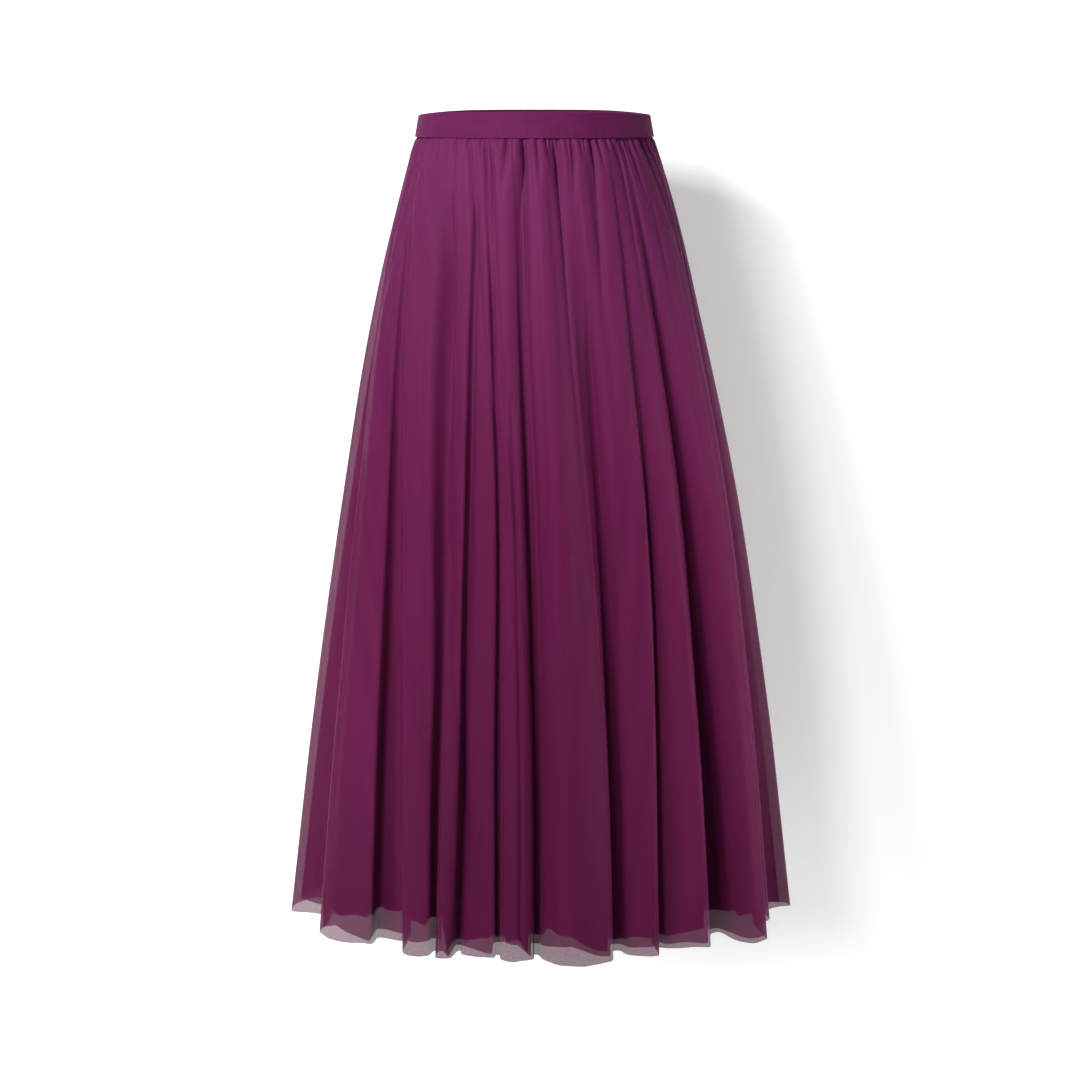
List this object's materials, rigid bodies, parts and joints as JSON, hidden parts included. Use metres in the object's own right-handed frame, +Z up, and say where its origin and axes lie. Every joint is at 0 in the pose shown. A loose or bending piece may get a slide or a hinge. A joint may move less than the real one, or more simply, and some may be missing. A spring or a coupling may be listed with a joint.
{
  "type": "gathered tulle midi skirt",
  "caption": "Gathered net midi skirt with an elastic waistband, two sheer net layers and a shorter lining, hanging in soft uneven folds.",
  "frame": {"origin": "middle of the waistband: on the skirt's upright axis, half way up the band", "axes": "+Z up, from the hem to the waist; -Y is the front of the skirt, +X the right-hand side as seen from the front"},
  "size_m": [0.54, 0.4008, 0.8525],
  "materials": {
    "waistband_knit": "matt fine knit over elastic",
    "tulle_outer": "sheer fine hexagonal net",
    "tulle_inner": "sheer fine hexagonal net",
    "lining_cloth": "opaque smooth lining, low sheen"
  },
  "bodies": {
    "root": {"waistband": "waistband_knit", "outer_tulle_front": "tulle_outer", "outer_tulle_back": "tulle_outer", "inner_tulle_front": "tulle_inner", "inner_tulle_back": "tulle_inner", "lining_front": "lining_cloth", "lining_back": "lining_cloth"}
  },
  "joints": []
}
